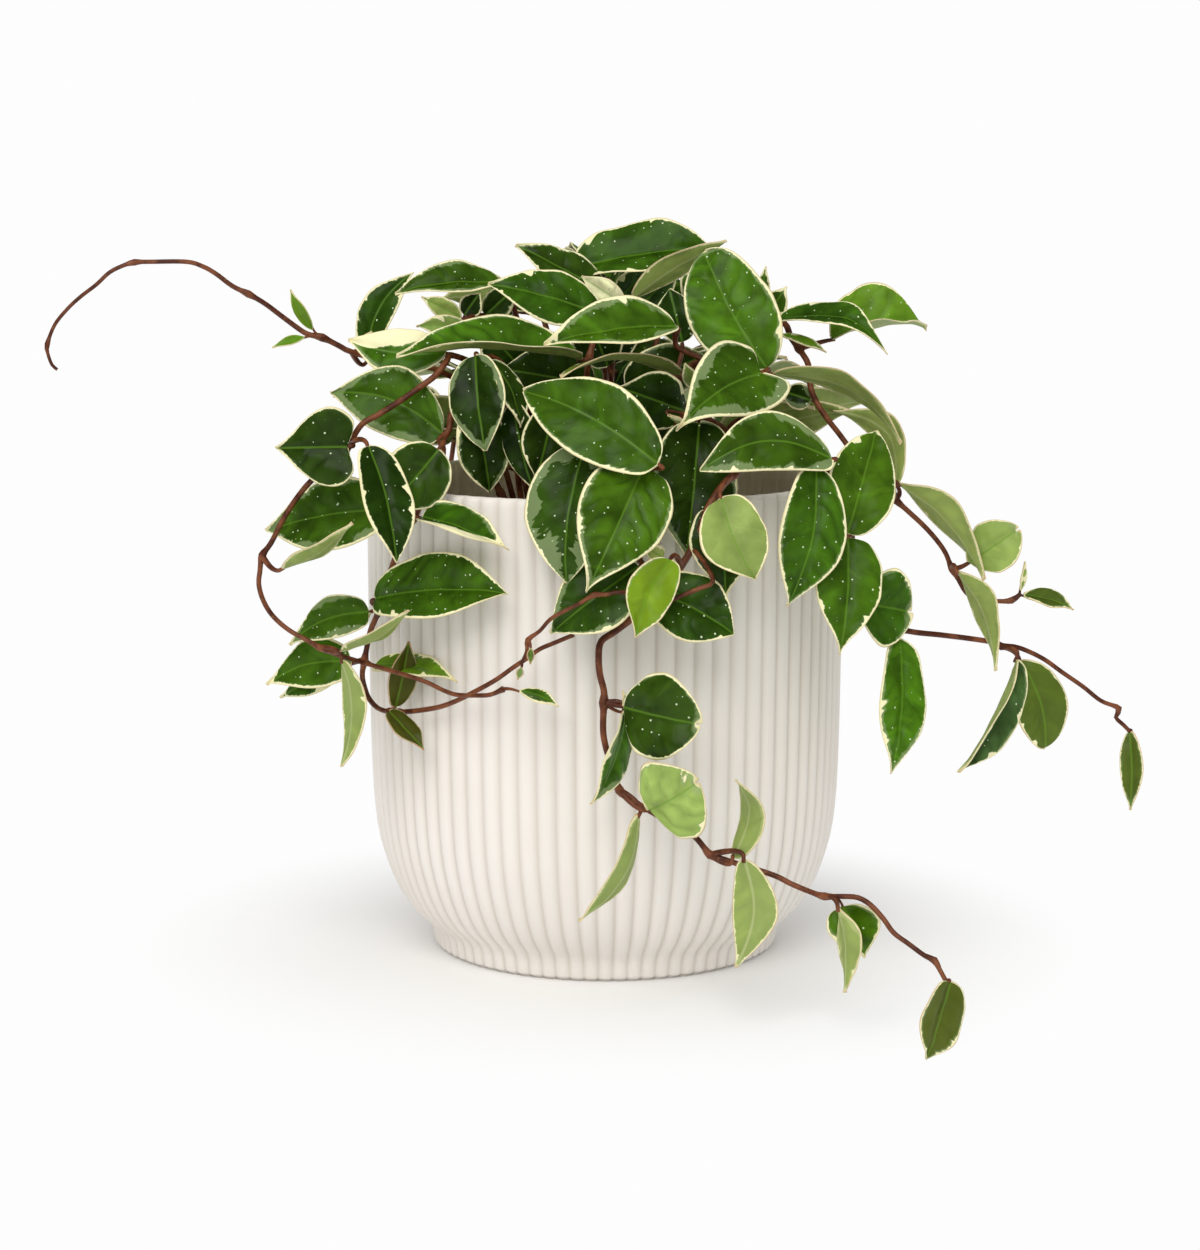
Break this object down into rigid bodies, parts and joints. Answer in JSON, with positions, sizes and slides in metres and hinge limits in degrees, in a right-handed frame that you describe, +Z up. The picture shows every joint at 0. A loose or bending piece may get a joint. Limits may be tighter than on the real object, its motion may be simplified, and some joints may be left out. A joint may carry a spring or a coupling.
{
  "type": "potted hoya plant",
  "caption": "Trailing hoya in a round fluted ceramic pot: thick pointed leaves on thin twining stems that arch over the rim and hang down.",
  "frame": {"origin": "centre of the flat underside of the pot's foot, on the surface that the pot stands on", "axes": "+Z up, -Y towards the front, where the longest trailing stem hangs, +X to the right as seen from the front"},
  "size_m": [0.4027, 0.3099, 0.2746],
  "materials": {
    "pot_ceramic": "matte",
    "potting_soil": "matte",
    "hoya_foliage": "satin"
  },
  "bodies": {
    "root": {"pot": "pot_ceramic", "soil": "potting_soil", "stem_back_1": "hoya_foliage", "stem_back_2": "hoya_foliage", "stem_back_3": "hoya_foliage", "stem_back_4": "hoya_foliage", "stem_back_5": "hoya_foliage", "stem_back_6": "hoya_foliage", "stem_back_7": "hoya_foliage", "stem_centre_high": "hoya_foliage", "stem_crown": "hoya_foliage", "stem_front": "hoya_foliage", "stem_front_left": "hoya_foliage", "stem_front_right": "hoya_foliage", "stem_high_1": "hoya_foliage", "stem_high_2": "hoya_foliage", "stem_high_3": "hoya_foliage", "stem_inner_left": "hoya_foliage", "stem_inner_right": "hoya_foliage", "stem_left_back": "hoya_foliage", "stem_left_high": "hoya_foliage", "stem_right_top": "hoya_foliage", "vine_front": "hoya_foliage", "vine_left_front": "hoya_foliage", "vine_left_loop": "hoya_foliage", "vine_long_tendril": "hoya_foliage", "vine_lower_right": "hoya_foliage", "vine_right": "hoya_foliage"}
  },
  "joints": []
}
